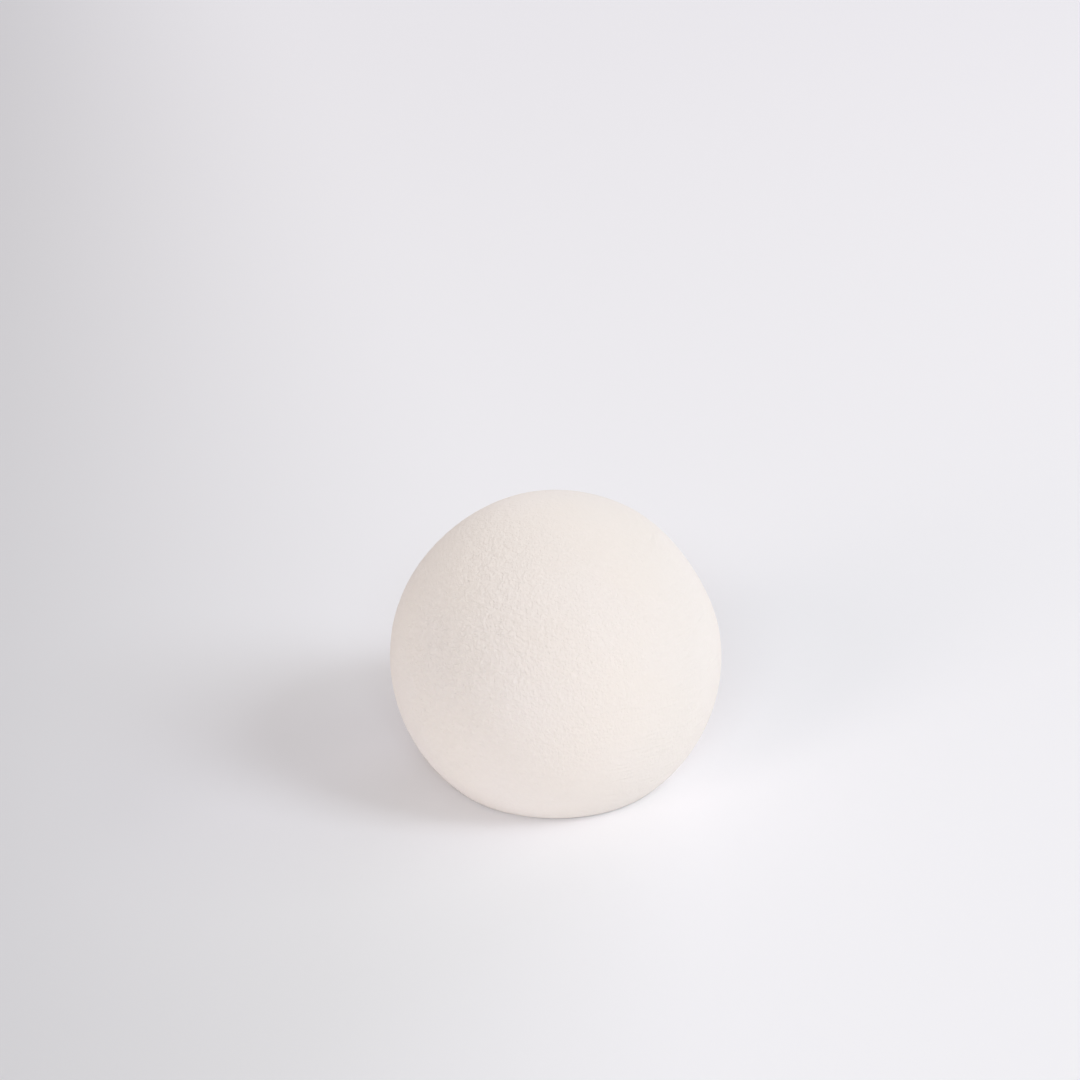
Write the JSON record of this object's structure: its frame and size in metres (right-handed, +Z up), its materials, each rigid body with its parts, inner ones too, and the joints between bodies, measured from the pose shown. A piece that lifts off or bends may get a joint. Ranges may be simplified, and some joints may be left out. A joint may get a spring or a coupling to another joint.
{
  "type": "ceramic ball ornament",
  "caption": "Hollow round ceramic ball with a fine sandy skin, cut off flat below so that it stands as a shelf or table ornament.",
  "frame": {"origin": "centre of the flat base, on the surface that the ball stands on", "axes": "+Z up through the centre of the ball, its axis of symmetry; +X to the right and -Y to the front, which are free choices on a round form"},
  "size_m": [0.1, 0.1, 0.0867],
  "materials": {
    "clay": "matte"
  },
  "bodies": {
    "root": {"ball": "clay"}
  },
  "joints": []
}
